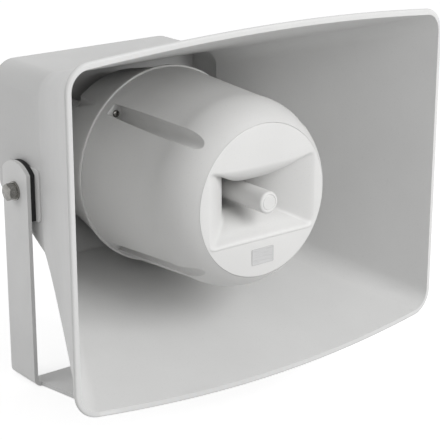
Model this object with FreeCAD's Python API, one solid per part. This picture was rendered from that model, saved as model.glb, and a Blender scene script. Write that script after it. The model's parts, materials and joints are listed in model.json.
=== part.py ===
import FreeCAD, Part
import math
import os

os.makedirs("parts", exist_ok=True)
V = FreeCAD.Vector

# A wide-range horn loudspeaker: a rectangular re-entrant horn with a two-way driver barrel in its mouth,
# a rear electronics box and a steel stirrup that it tilts in.
# Sizes are in millimetres. While the pieces are made, x runs to the right, y is the depth back from the
# mouth plane and z is the height above the horn axis. save() moves them to the stirrup's base.

# Horn mouth, flare and rear box
MOUTH_WIDTH = 467.0
MOUTH_HEIGHT = 340.0
MOUTH_CORNER = 24.0
MOUTH_BOW_OUT = 7.5
MOUTH_BOW_FORWARD = 12.0
RIM_PROUD = 2.6
RIM_DEPTH = 9.0
RIM_ROUND = 2.4
FLARE_DEPTH = 234.0
FLARE_POWER = 1.04
HORN_WALL = 4.5
BOX_WIDTH = 240.0
THROAT_WIDTH = 10.0
THROAT_LENGTH = 32.0
BOX_REAR_BOTTOM = -47.0
BOX_CORNER = 23.0
BOX_WALL = 3.0
BOX_REAR_ROUND = 10.0
FLARE_STEPS = 5
REFLECTOR_WALL = 4.0
REAR_WALL = 4.0

# Stirrup, its base and the pivot hardware
AXIS_HEIGHT = 249.0
STRAP = 4.5
STRAP_BEND = 9.0
ARM_WIDTH = 50.0
ARM_TOP_R = 33.0
PIVOT_BEHIND_FLARE = 34.0
PIVOT_DROP = 27.0
BASE_AHEAD_OF_PIVOT = 48.0
BASE_LENGTH = 79.0
BASE_FRONT_INSET = 20.0
BASE_REAR_INSET = 11.5
BASE_CORNER = 8.0
BASE_HOLE_R = 4.5
BASE_HOLE_PITCH_X = 150.0
BASE_HOLE_PITCH_Y = 44.0
BASE_CENTRE_HOLE_R = 6.5
BOLT_R = 5.0
BOLT_HEAD_FLATS = 17.0
BOLT_HEAD_HEIGHT = 6.5
BOLT_HEAD_CHAMFER_R = 8.1
PIVOT_CLEARANCE = 0.08
SIDE_CLEARANCE = 0.1
WASHER_R = 10.5
WASHER_THICKNESS = 2.0
SPRING_WASHER_R = 8.8
SPRING_WASHER_THICKNESS = 2.6
SPRING_WASHER_SLIT = 1.2
BOSS_PROUD = 2.0
BOSS_AHEAD_OF_PIVOT = 33.0
BOSS_BEHIND_PIVOT = 31.0
BOSS_ABOVE_PIVOT = 28.0
BOSS_BELOW_PIVOT = 31.0
BOSS_CORNER = 6.0
BOSS_EDGE_ROUND = 1.0
PAD_THICKNESS = 5.4
PAD_BELOW_PIVOT = 30.0
INSERT_THREAD_WALL = 2.5
INSERT_LENGTH = 22.0
INSERT_WALL = 4.0

# Driver barrel
BARREL_SEAM_AHEAD_OF_BOX = 58.0
BARREL_SEAM_GAP = 7.5
BARREL_TAPER = 7.0
BARREL_SHOULDER_DEPTH = 62.0
BARREL_CROWN_BULGE = 6.2
FACE_DEPTH = 11.0
FACE_MARGIN = 2.6
FACE_THICKNESS = 4.0
FACE_EDGE_ROUND = 1.2
FACE_CLEARANCE = 0.15
FACE_LEDGE = 2.8
FACE_LEDGE_THICKNESS = 4.0
BARREL_WALL = 4.0
BARREL_REAR_LENGTH = 72.0
BARREL_REAR_MARGIN = 16.0
BARREL_REAR_BEVEL = 2.0
BARREL_REAR_RING = 8.0
SEAM_LIP_PROUD = 1.8
SEAM_LIP_DEPTH = 3.2
SEAL_THICKNESS = 0.5
SEAL_INSET = 1.0
CHANNEL_R = 9.0
CHANNEL_AXIS_IN = 7.0
CHANNEL_WALL = 3.0
CHANNEL_END_WEB = 10.0
BARREL_SCREW_AXIS_IN = 9.0
BARREL_SCREW_R = 2.0
BARREL_SCREW_LENGTH = 24.0
BARREL_SCREW_HEAD_R = 3.8
BARREL_SCREW_BOSS_R = 6.0
GROOVE_START_BEHIND_SEAM = 22.0
GROOVE_TIP_R = 0.5
GROOVE_END_R = 9.0
GROOVE_END_PROUD = 2.0
PILLAR_R = 7.0
PILLAR_INSET = 6.0
PILLAR_BOLT_R = 2.5
PILLAR_BOLT_GRIP = 20.0
PILLAR_BOLT_HEAD_R = 4.6
PILLAR_BOLT_HEAD_HEIGHT = 3.4
HOLE_CLEARANCE = 0.2

# Tweeter horn, plug and driver
TWEETER_MOUTH_WIDTH = 132.0
TWEETER_MOUTH_HEIGHT = 77.0
TWEETER_MOUTH_CORNER = 5.0
TWEETER_THROAT = 31.0
TWEETER_THROAT_CORNER = 4.0
TWEETER_DEPTH = 74.0
TWEETER_WALL = 2.5
TWEETER_SIDE_POWER = 2.6
TWEETER_BROW_POWER = 6.0
TWEETER_SHARES = (0.0, 0.3, 0.55, 0.75, 0.88, 0.96, 1.0)
THROAT_FLANGE_INSET = 2.0
THROAT_FLANGE = 4.0
BRIDGE_THICKNESS = 3.0
BRIDGE_DEPTH = 7.0
PLUG_R = 11.5
PLUG_PROUD = 10.0
PLUG_TAPER = 6.0
PLUG_FOOT_R = 4.0
PLUG_RING_R = 9.4
PLUG_RING_WIDTH = 1.2
PLUG_RING_DEPTH = 1.5
TWEETER_DRIVER_R = 44.0
TWEETER_CAP_R = 38.0
TWEETER_MAGNET_LENGTH = 24.0
TWEETER_CAP_LENGTH = 16.0
TWEETER_THROAT_R = 12.5
TWEETER_THROAT_LENGTH = 12.0
TWEETER_SCREW_INSET = 8.0
TWEETER_SCREW_R = 2.0
TWEETER_SCREW_LENGTH = 12.0

# Woofer, which fires back into the throat
WOOFER_CONE_R = 52.0
WOOFER_FRAME = 2.0
WOOFER_FRAME_LAP = 10.0
WOOFER_CONE = 1.0
WOOFER_CONE_DEPTH = 34.0
WOOFER_NECK_GLUE = 0.2
WOOFER_BASKET_DEPTH = 50.0
WOOFER_BASKET_FLOOR_R = 43.0
WOOFER_WINDOWS = 6
BASKET_RIB = 4.0
BASKET_EDGE = 6.0
SURROUND_WIDTH = 10.0
SURROUND_FLANGE = 4.0
SURROUND_ROLL = 5.0
SURROUND_CREST = 4.0
SURROUND = 1.0
SURROUND_GAP = 0.3
DUST_CAP_R = 19.0
DUST_CAP_RISE = 7.0
COIL_R = 16.2
COIL_WALL = 0.8
COIL_LENGTH = 26.0
COIL_GAP = 0.6
SPIDER = 1.0
SPIDER_BELOW_NECK = 4.0
MAGNET_R = 45.0
MAGNET_HOLE_R = 26.0
MAGNET_LENGTH = 18.0
PLATE_R = 42.0
PLATE = 6.0
WOOFER_SCREW_R = 2.0
WOOFER_SCREW_LENGTH = 8.0
SCREW_HEAD_R = 3.6
SCREW_HEAD_HEIGHT = 2.4
SCREW_HEAD_TAPER = 0.75
SCREW_HOLE_SPARE = 2.0

# Rear cover, cable gland and the electronics behind the reflector wall
COVER_SIDE_INSET = 13.0
COVER_END_INSET = 16.0
COVER_THICKNESS = 3.5
COVER_CORNER = 12.0
COVER_GASKET = 1.5
COVER_BORDER = 12.0
COVER_SCREW_R = 2.0
COVER_SCREW_LENGTH = 16.0
COVER_BOSS_R = 5.0
COVER_BOSS_FLOOR = 2.0
GLAND_THREAD_R = 8.0
GLAND_FLATS = 22.0
GLAND_HEX_LENGTH = 7.0
GLAND_DOME_R = 10.4
GLAND_DOME_LENGTH = 17.0
GLAND_DOME_ROUND = 4.2
GLAND_FLUTES = 10
GLAND_FLUTE_R = 1.6
GLAND_CABLE_R = 4.0
GLAND_NUT_LENGTH = 5.0
GLAND_THREAD_SPARE = 3.5
GLAND_BELOW_COVER_CENTRE = 34.0
CORE_WIDTH = 58.0
CORE_DEPTH = 36.0
CORE_REAR_SPACE = 4.0
CORE_STACK = 24.0
CORE_LEG = 16.0
CORE_YOKE = 8.0
CORE_WINDOW = 12.0
WINDING_OVERHANG = 8.0
CORE_X = -58.0
CORE_Z = 18.0
BOARD_WIDTH = 84.0
BOARD_HEIGHT = 60.0
BOARD_THICKNESS = 1.6
BOARD_X = 42.0
BOARD_Z = 44.0
BOARD_STANDOFF = 6.0
BOARD_STANDOFF_R = 3.5
COMPONENT_R = 9.0
CAPACITOR_LENGTH = 34.0
CAPACITOR_ABOVE_CENTRE = 15.0
COIL_FORM_R = 15.0
COIL_FORM_LENGTH = 18.0
COIL_FORM_HOLE_R = 7.5
COIL_FORM_RIGHT_OF_CENTRE = 21.0
COIL_FORM_ABOVE_CENTRE = 12.0
TERMINAL_LENGTH = 44.0
TERMINAL_HEIGHT = 16.0
TERMINAL_DEPTH = 14.0
TERMINAL_WAYS = 4
TERMINAL_WELL_R = 3.6
TERMINAL_WELL_DEPTH = 7.0
TERMINAL_BELOW_CENTRE = 15.0

# How far a cutter runs past the face that it goes through, and how near counts as the same place
CUT_MARGIN = 1.0
SAME_PLACE = 1e-3

# Sizes and places worked out from the sizes above, from the drivers outwards
SIDES = (-1, 1)
QUARTERS = (45, 135, 225, 315)
UPRIGHTS = (0, 90, 180, 270)
WOOFER_FRAME_INNER_R = WOOFER_CONE_R + SURROUND_WIDTH
WOOFER_OPENING_R = WOOFER_FRAME_INNER_R + SURROUND_FLANGE
WOOFER_FRAME_R = WOOFER_OPENING_R + WOOFER_FRAME_LAP
WOOFER_SCREW_AXIS_R = WOOFER_FRAME_R - WOOFER_FRAME_LAP / 2
WOOFER_NECK_R = COIL_R + COIL_WALL + WOOFER_NECK_GLUE
BARREL_REAR_R = WOOFER_FRAME_R + BARREL_REAR_MARGIN
PILLAR_AXIS_R = BARREL_REAR_R - BARREL_REAR_BEVEL - PILLAR_INSET - PILLAR_R
BOX_TOP = BARREL_REAR_R + THROAT_WIDTH + BOX_WALL
BARREL_SEAM_DEPTH = FLARE_DEPTH - BARREL_SEAM_AHEAD_OF_BOX
BARREL_REAR_DEPTH = BARREL_SEAM_DEPTH + BARREL_REAR_LENGTH
REFLECTOR_DEPTH = BARREL_REAR_DEPTH + THROAT_LENGTH
COMPARTMENT_DEPTH = REFLECTOR_DEPTH + REFLECTOR_WALL
BOX_DEPTH = COMPARTMENT_DEPTH + CORE_DEPTH + CORE_REAR_SPACE + REAR_WALL
SEAM_GROWTH = (1 - BARREL_SEAM_DEPTH / FLARE_DEPTH) ** FLARE_POWER
SEAM_FLARE_TOP = BOX_TOP + (MOUTH_HEIGHT / 2 - RIM_PROUD - BOX_TOP) * SEAM_GROWTH - HORN_WALL
BARREL_SEAM_R = SEAM_FLARE_TOP - BARREL_SEAM_GAP - SEAM_LIP_PROUD
BARREL_SHOULDER_R = BARREL_SEAM_R - BARREL_TAPER
CHANNEL_AXIS_R = BARREL_SEAM_R - CHANNEL_AXIS_IN
BARREL_SCREW_AXIS_R = BARREL_SEAM_R - BARREL_SCREW_AXIS_IN
BARREL_SCREW_TIP = BARREL_SEAM_DEPTH - CHANNEL_END_WEB + BARREL_SCREW_LENGTH
SCREW_BOSS_END = BARREL_SCREW_TIP + BARREL_WALL
FACE_R = math.hypot(TWEETER_MOUTH_WIDTH, TWEETER_MOUTH_HEIGHT) / 2 + FACE_MARGIN
FACE_SEAT_R = FACE_R + FACE_CLEARANCE
THROAT_DEPTH = FACE_DEPTH + TWEETER_DEPTH
THROAT_FLANGE_R = TWEETER_DRIVER_R - THROAT_FLANGE_INSET
TWEETER_SCREW_AXIS_R = TWEETER_DRIVER_R - TWEETER_SCREW_INSET
TWEETER_SCREW_TIP = THROAT_DEPTH - THROAT_FLANGE + TWEETER_SCREW_LENGTH
WOOFER_FACE_DEPTH = BARREL_REAR_DEPTH - BARREL_REAR_RING
WOOFER_SCREW_TIP = WOOFER_FACE_DEPTH - WOOFER_FRAME + WOOFER_SCREW_LENGTH
BASKET_FLOOR_DEPTH = WOOFER_FACE_DEPTH - WOOFER_BASKET_DEPTH
TOP_PLATE_DEPTH = BASKET_FLOOR_DEPTH - WOOFER_FRAME - PLATE
BASKET_HOLE_R = COIL_R + COIL_WALL + 2 * COIL_GAP
SPIDER_DEPTH = WOOFER_FACE_DEPTH - WOOFER_CONE_DEPTH - SPIDER_BELOW_NECK
BASKET_SLOPE = (WOOFER_FRAME_INNER_R - WOOFER_BASKET_FLOOR_R) / WOOFER_BASKET_DEPTH
SPIDER_OUTER_R = WOOFER_BASKET_FLOOR_R + (SPIDER_DEPTH - BASKET_FLOOR_DEPTH) * BASKET_SLOPE - SURROUND_GAP
CONE_SLOPE = WOOFER_CONE_DEPTH / (WOOFER_CONE_R - WOOFER_NECK_R)
DUST_CAP_DEPTH = WOOFER_FACE_DEPTH - (WOOFER_CONE_R - DUST_CAP_R) * CONE_SLOPE

PIVOT_DEPTH = FLARE_DEPTH + PIVOT_BEHIND_FLARE
PIVOT = V(0, PIVOT_DEPTH, -PIVOT_DROP)
BASE_CENTRE_DEPTH = PIVOT_DEPTH - BASE_AHEAD_OF_PIVOT
INSERT_R = BOLT_R + INSERT_THREAD_WALL
BOSS_FACE_X = BOX_WIDTH / 2 + BOSS_PROUD
PAD_FACE_X = BOSS_FACE_X + PAD_THICKNESS
ARM_OUTER_X = PAD_FACE_X + SIDE_CLEARANCE + STRAP
WASHER_X = ARM_OUTER_X + SIDE_CLEARANCE
SPRING_WASHER_X = WASHER_X + WASHER_THICKNESS
HEAD_X = SPRING_WASHER_X + SPRING_WASHER_THICKNESS

COVER_WIDTH = BOX_WIDTH - 2 * COVER_SIDE_INSET
COVER_HEIGHT = BOX_TOP - BOX_REAR_BOTTOM - 2 * COVER_END_INSET
COVER_Z = (BOX_TOP + BOX_REAR_BOTTOM) / 2
COVER_SCREWS = [
    (x * (COVER_WIDTH - COVER_BORDER) / 2, COVER_Z + z * (COVER_HEIGHT - COVER_BORDER) / 2)
    for x in (-1, 0, 1) for z in SIDES
]
COVER_FACE = BOX_DEPTH + COVER_GASKET + COVER_THICKNESS
COVER_SCREW_TIP = COVER_FACE - COVER_SCREW_LENGTH
COVER_HOLE_END = COVER_SCREW_TIP - SCREW_HOLE_SPARE
GLAND_Z = COVER_Z - GLAND_BELOW_COVER_CENTRE
BOARD_FACE = COMPARTMENT_DEPTH + BOARD_STANDOFF + BOARD_THICKNESS
STANDOFF_INSET = 2 * BOARD_STANDOFF_R
STANDOFFS = [
    (BOARD_X + x * (BOARD_WIDTH / 2 - STANDOFF_INSET), BOARD_Z + z * (BOARD_HEIGHT / 2 - STANDOFF_INSET))
    for x in SIDES for z in SIDES
]


# Helpers
def save(node, *shapes):
    solids = [solid for shape in shapes for solid in shape.Solids]
    whole = solids[0] if len(solids) == 1 else Part.makeCompound(solids)
    whole.translated(V(0, -BASE_CENTRE_DEPTH, AXIS_HEIGHT)).exportStep("parts/%s.step" % node)


def block(x0, x1, y0, y1, z0, z1):
    return Part.makeBox(x1 - x0, y1 - y0, z1 - z0, V(x0, y0, z0))


def rod(radius, depth0, depth1, x=0.0, z=0.0):
    return Part.makeCylinder(radius, depth1 - depth0, V(x, depth0, z), V(0, 1, 0))


def side_rod(radius, x0, x1, at):
    return Part.makeCylinder(radius, x1 - x0, V(x0, at.y, at.z), V(1, 0, 0))


def on_circle(radius, degrees):
    angle = math.radians(degrees)
    return radius * math.cos(angle), radius * math.sin(angle)


def rods_on_circle(radius, depth0, depth1, circle_r, angles):
    places = [on_circle(circle_r, angle) for angle in angles]
    return [rod(radius, depth0, depth1, x, z) for x, z in places]


def both_sides(make):
    return [make(side) for side in SIDES]


def turned(*points):
    """Solid turned about the horn axis; a pair of points is an arc's middle and its end."""
    here = V(*points[0], 0)
    edges = []
    for step in points[1:] + points[:1]:
        if isinstance(step[0], tuple):
            there = V(*step[1], 0)
            edges.append(Part.Arc(here, V(*step[0], 0), there).toShape())
        else:
            there = V(*step, 0)
            edges.append(Part.makeLine(here, there))
        here = there
    return Part.Face(Part.Wire(edges)).revolve(V(0, 0, 0), V(0, 1, 0), 360)


def ring(depth, half_width, top, bottom, corner, bow=0.0, x=0.0):
    """Rounded rectangle across the axis, its top and bottom edges bowed outwards."""
    straight = half_width - corner
    nip = corner * (1 - math.sqrt(0.5))

    def at(across, height):
        return V(x + across, depth, height)

    def bowed(start, end, height, rise):
        if rise == 0:
            return Part.makeLine(at(start, height), at(end, height))
        return Part.Arc(at(start, height), at(0, height + rise), at(end, height)).toShape()

    def rounded(start, middle, end):
        return Part.Arc(at(*start), at(*middle), at(*end)).toShape()

    right, left = half_width, -half_width
    return Part.Wire([
        bowed(-straight, straight, top, bow),
        rounded((straight, top), (right - nip, top - nip), (right, top - corner)),
        Part.makeLine(at(right, top - corner), at(right, bottom + corner)),
        rounded((right, bottom + corner), (right - nip, bottom + nip), (straight, bottom)),
        bowed(straight, -straight, bottom, -bow),
        rounded((-straight, bottom), (left + nip, bottom + nip), (left, bottom + corner)),
        Part.makeLine(at(left, bottom + corner), at(left, top - corner)),
        rounded((left, top - corner), (left + nip, top - nip), (-straight, top)),
    ])


def plate(depth0, depth1, width, height, corner, x, z):
    outline = ring(depth0, width / 2, z + height / 2, z - height / 2, corner, 0.0, x)
    return Part.Face(outline).extrude(V(0, depth1 - depth0, 0))


def hexagon(flats, x0, x1, at):
    """Hexagonal bar along x, with two corners at its top and bottom."""
    corner_r = flats / math.sqrt(3)
    points = [V(x0, at.y + a, at.z + b) for a, b in (on_circle(corner_r, 60 * i + 30) for i in range(7))]
    return Part.Face(Part.makePolygon(points)).extrude(V(x1 - x0, 0, 0))


def depth_hexagon(flats, depth0, depth1, x, z):
    corner_r = flats / math.sqrt(3)
    points = [V(x + a, depth0, z + b) for a, b in (on_circle(corner_r, 60 * i) for i in range(7))]
    return Part.Face(Part.makePolygon(points)).extrude(V(0, depth1 - depth0, 0))


def round_screw(radius, head_r, head_height, head_depth, tip_depth, x, z):
    """Pan-head screw along the axis; its head stands on the side away from its tip."""
    way = 1 if tip_depth > head_depth else -1
    low, high = sorted((head_depth, tip_depth))
    shank = rod(radius, low, high, x, z)
    head = Part.makeCone(head_r, head_r * SCREW_HEAD_TAPER, head_height, V(x, head_depth, z), V(0, -way, 0))
    return shank.fuse(head).removeSplitter()


# Horn shell: flare, rolled rim, throat, reflector wall and rear box in one moulding
def flare_ring(t, inset):
    """Section of the flare, from the box at t = 0 to the mouth plane at t = 1."""
    growth = t ** FLARE_POWER
    half_width = BOX_WIDTH / 2 + (MOUTH_WIDTH / 2 - RIM_PROUD - BOX_WIDTH / 2) * growth - inset
    half_height = BOX_TOP + (MOUTH_HEIGHT / 2 - RIM_PROUD - BOX_TOP) * growth - inset
    corner = BOX_CORNER + (MOUTH_CORNER - BOX_CORNER) * t - inset
    depth = FLARE_DEPTH * (1 - t)
    return ring(depth, half_width, half_height, -half_height, corner, MOUTH_BOW_OUT * t * t)


def flare_solid(inset):
    past_mouth = 1 + 2 * MOUTH_BOW_FORWARD / FLARE_DEPTH
    shares = [step / FLARE_STEPS for step in range(FLARE_STEPS + 1)] + [past_mouth]
    return Part.makeLoft([flare_ring(share, inset) for share in shares], True, False)


def box_ring(depth, inset):
    share = (depth - FLARE_DEPTH) / (BOX_DEPTH - FLARE_DEPTH)
    bottom = -BOX_TOP + (BOX_REAR_BOTTOM + BOX_TOP) * share
    return ring(depth, BOX_WIDTH / 2 - inset, BOX_TOP - inset, bottom + inset, BOX_CORNER - inset)


def box_solid(depth0, depth1, inset):
    return Part.makeLoft([box_ring(depth0, inset), box_ring(depth1, inset)], True, True)


def mouth_side(set_back):
    """Everything behind the mouth's gently curved front, as a part of a large upright cylinder."""
    half = MOUTH_WIDTH / 2
    radius = (half ** 2 + MOUTH_BOW_FORWARD ** 2) / (2 * MOUTH_BOW_FORWARD)
    centre = V(0, set_back - MOUTH_BOW_FORWARD + radius, -MOUTH_HEIGHT)
    return Part.makeCylinder(radius, 2 * MOUTH_HEIGHT, centre)


def edges_at(shape, axis, place):
    """Edges that lie in one plane across an axis."""
    return [
        edge for edge in shape.Edges
        if all(abs(getattr(vertex, axis) - place) < SAME_PLACE for vertex in edge.Vertexes)
    ]


def rim_solid():
    band = mouth_side(0).cut(mouth_side(RIM_DEPTH))
    rim = flare_solid(-RIM_PROUD).common(band)
    fronts = [face for face in rim.Faces if isinstance(face.Surface, Part.Cylinder)]
    return rim.makeFillet(RIM_ROUND, [edge for face in fronts for edge in face.Edges])


def pivot_boss(side):
    """Raised flat on the box's side with a thick core behind it for the threaded insert."""
    inside = BOX_WIDTH / 2 - BOX_WALL
    low, high = sorted((side * inside, side * (BOX_WIDTH / 2 + BOSS_PROUD)))
    flat = block(low, high, PIVOT.y - BOSS_AHEAD_OF_PIVOT, PIVOT.y + BOSS_BEHIND_PIVOT,
                 PIVOT.z - BOSS_BELOW_PIVOT, PIVOT.z + BOSS_ABOVE_PIVOT)
    corners = [edge for edge in flat.Edges if abs(edge.Vertexes[0].X - edge.Vertexes[1].X) > SAME_PLACE]
    flat = flat.makeFillet(BOSS_CORNER, corners)
    flat = flat.makeFillet(BOSS_EDGE_ROUND, edges_at(flat, "X", side * BOSS_FACE_X))
    core_end = BOSS_FACE_X - INSERT_LENGTH - INSERT_WALL
    low, high = sorted((side * core_end, side * inside))
    core = side_rod(INSERT_R + INSERT_WALL, low, high, PIVOT)
    return flat.fuse(core)


def insert_hole(side):
    low, high = sorted((side * (BOSS_FACE_X - INSERT_LENGTH), side * (BOSS_FACE_X + CUT_MARGIN)))
    return side_rod(INSERT_R, low, high, PIVOT)


def cover_opening(depth0, depth1):
    return plate(depth0, depth1, COVER_WIDTH - 2 * COVER_BORDER, COVER_HEIGHT - 2 * COVER_BORDER,
                 COVER_CORNER, 0, COVER_Z)


def horn_shell():
    box = box_solid(FLARE_DEPTH, BOX_DEPTH, 0)
    box = box.makeFillet(BOX_REAR_ROUND, edges_at(box, "Y", BOX_DEPTH))
    flare = flare_solid(0).common(mouth_side(RIM_DEPTH / 2))
    shell = flare.fuse([box, rim_solid()])
    throat = box_solid(FLARE_DEPTH, REFLECTOR_DEPTH, BOX_WALL)
    compartment = box_solid(COMPARTMENT_DEPTH, BOX_DEPTH - REAR_WALL, BOX_WALL)
    opening = cover_opening(BOX_DEPTH - REAR_WALL - CUT_MARGIN, BOX_DEPTH + CUT_MARGIN)
    shell = shell.cut([flare_solid(HORN_WALL), throat, compartment, opening])
    boss_start = COVER_HOLE_END - COVER_BOSS_FLOOR
    cover_bosses = [rod(COVER_BOSS_R, boss_start, BOX_DEPTH, x, z) for x, z in COVER_SCREWS]
    shell = shell.fuse(cover_bosses + both_sides(pivot_boss))
    holes = both_sides(insert_hole)
    holes += [rod(COVER_SCREW_R, COVER_HOLE_END, BOX_DEPTH + CUT_MARGIN, x, z) for x, z in COVER_SCREWS]
    holes += rods_on_circle(PILLAR_BOLT_R + HOLE_CLEARANCE, REFLECTOR_DEPTH - CUT_MARGIN,
                            COMPARTMENT_DEPTH + CUT_MARGIN, PILLAR_AXIS_R, QUARTERS)
    return shell.cut(holes)


# Stirrup and pivot hardware
def edges_along_strap(shape, height):
    """Edges at one height that run from front to rear, where the strap is bent."""
    level = edges_at(shape, "Z", height)
    return [edge for edge in level if abs(edge.Vertexes[0].Y - edge.Vertexes[1].Y) > SAME_PLACE]


def base_outline(floor, arm_front, arm_rear):
    """Plan of the base: it reaches forward of the arms, towards the centre of gravity."""
    bend_x = ARM_OUTER_X - STRAP_BEND
    front = BASE_CENTRE_DEPTH - BASE_LENGTH / 2
    rear = BASE_CENTRE_DEPTH + BASE_LENGTH / 2
    right = [
        (ARM_OUTER_X - BASE_FRONT_INSET, front), (bend_x, arm_front), (ARM_OUTER_X, arm_front),
        (ARM_OUTER_X, arm_rear), (bend_x, arm_rear), (ARM_OUTER_X - BASE_REAR_INSET, rear),
    ]
    left = [(-x, y) for x, y in reversed(right)]
    points = [V(x, y, floor) for x, y in right + left]
    slab = Part.Face(Part.makePolygon(points + points[:1])).extrude(V(0, 0, STRAP_BEND))
    upright = [edge for edge in slab.Edges if abs(edge.Vertexes[0].Z - edge.Vertexes[1].Z) > SAME_PLACE]
    fronts = [edge for edge in upright if abs(edge.Vertexes[0].Y - front) < SAME_PLACE]
    return slab.makeFillet(BASE_CORNER, fronts)


def base_hole(radius, x, y):
    foot = V(x, BASE_CENTRE_DEPTH + y, -AXIS_HEIGHT - CUT_MARGIN)
    return Part.makeCylinder(radius, STRAP + 2 * CUT_MARGIN, foot)


def stirrup():
    """Flat strap bent into a U and cut to the plan of its base and the outline of its arms."""
    floor = -AXIS_HEIGHT
    top = PIVOT.z + ARM_TOP_R
    arm_front = PIVOT.y - ARM_WIDTH / 2
    arm_rear = PIVOT.y + ARM_WIDTH / 2
    start = min(arm_front, BASE_CENTRE_DEPTH - BASE_LENGTH / 2)
    end = max(arm_rear, BASE_CENTRE_DEPTH + BASE_LENGTH / 2)
    inner_x = ARM_OUTER_X - STRAP
    outer = block(-ARM_OUTER_X, ARM_OUTER_X, start, end, floor, top)
    inner = block(-inner_x, inner_x, start, end, floor + STRAP, top + CUT_MARGIN)
    outer = outer.makeFillet(STRAP_BEND, edges_along_strap(outer, floor))
    inner = inner.makeFillet(STRAP_BEND - STRAP, edges_along_strap(inner, floor + STRAP))
    across = (-ARM_OUTER_X - CUT_MARGIN, ARM_OUTER_X + CUT_MARGIN)
    posts = block(*across, arm_front, arm_rear, floor + STRAP_BEND, PIVOT.z)
    heads = side_rod(ARM_TOP_R, *across, PIVOT).common(block(*across, arm_front, arm_rear, PIVOT.z, top))
    strap = outer.cut(inner).common(posts.fuse([heads, base_outline(floor, arm_front, arm_rear)]))
    holes = [side_rod(BOLT_R + PIVOT_CLEARANCE, *across, PIVOT), base_hole(BASE_CENTRE_HOLE_R, 0, 0)]
    for x in SIDES:
        for y in SIDES:
            holes.append(base_hole(BASE_HOLE_R, x * BASE_HOLE_PITCH_X / 2, y * BASE_HOLE_PITCH_Y / 2))
    return strap.cut(holes)


def sided_tube(side, inner_r, outer_r, x0, x1):
    low, high = sorted((side * x0, side * x1))
    return side_rod(outer_r, low, high, PIVOT).cut(side_rod(inner_r, low, high, PIVOT))


def friction_pad(side):
    """Rubber pad between the box and the arm, with the arm head's own outline."""
    low, high = sorted((side * BOSS_FACE_X, side * PAD_FACE_X))
    front = PIVOT.y - ARM_WIDTH / 2
    rear = PIVOT.y + ARM_WIDTH / 2
    whole = block(low, high, front, rear, PIVOT.z - PAD_BELOW_PIVOT, PIVOT.z + ARM_TOP_R)
    lower = block(low, high, front, rear, PIVOT.z - PAD_BELOW_PIVOT, PIVOT.z)
    head = side_rod(ARM_TOP_R, low, high, PIVOT)
    return whole.common(head.fuse(lower)).cut(side_rod(BOLT_R + HOLE_CLEARANCE, low, high, PIVOT))


def threaded_insert(side):
    return sided_tube(side, BOLT_R, INSERT_R, BOSS_FACE_X - INSERT_LENGTH, BOSS_FACE_X)


def flat_washer(side):
    return sided_tube(side, BOLT_R + HOLE_CLEARANCE, WASHER_R, WASHER_X, WASHER_X + WASHER_THICKNESS)


def spring_washer(side):
    whole = sided_tube(side, BOLT_R + HOLE_CLEARANCE, SPRING_WASHER_R, SPRING_WASHER_X, HEAD_X)
    half_slit = SPRING_WASHER_SLIT / 2
    low, high = sorted((side * SPRING_WASHER_X, side * HEAD_X))
    slit_top = PIVOT.z + SPRING_WASHER_R + CUT_MARGIN
    slit = block(low, high, PIVOT.y - half_slit, PIVOT.y + half_slit, PIVOT.z, slit_top)
    return whole.cut(slit)


def pivot_bolt(side):
    """Hexagon bolt whose head has the usual thirty-degree chamfer."""
    low, high = sorted((side * (BOSS_FACE_X - INSERT_LENGTH), side * HEAD_X))
    shank = side_rod(BOLT_R, low, high, PIVOT)
    low, high = sorted((side * HEAD_X, side * (HEAD_X + BOLT_HEAD_HEIGHT)))
    head = hexagon(BOLT_HEAD_FLATS, low, high, PIVOT)
    cone_foot_r = BOLT_HEAD_CHAMFER_R + BOLT_HEAD_HEIGHT * math.sqrt(3)
    chamfer = Part.makeCone(cone_foot_r, BOLT_HEAD_CHAMFER_R, BOLT_HEAD_HEIGHT,
                            V(side * HEAD_X, PIVOT.y, PIVOT.z), V(side, 0, 0))
    return shank.fuse(head.common(chamfer)).removeSplitter()


# Driver barrel: a tapered front half and a rear half that stands on four pillars
def crown_middle(start, end, bulge):
    """Middle of an arc from start to end that stands out from their chord by the bulge."""
    across, along = end[0] - start[0], end[1] - start[1]
    share = bulge / math.hypot(across, along)
    return (start[0] + end[0]) / 2 + along * share, (start[1] + end[1]) / 2 - across * share


def barrel_front_outer():
    face_edge = (FACE_SEAT_R, FACE_DEPTH)
    shoulder = (BARREL_SHOULDER_R, BARREL_SHOULDER_DEPTH)
    crown = crown_middle(face_edge, shoulder, BARREL_CROWN_BULGE)
    return turned(
        (0, FACE_DEPTH), face_edge, (crown, shoulder), (BARREL_SEAM_R, BARREL_SEAM_DEPTH),
        (0, BARREL_SEAM_DEPTH))


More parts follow.
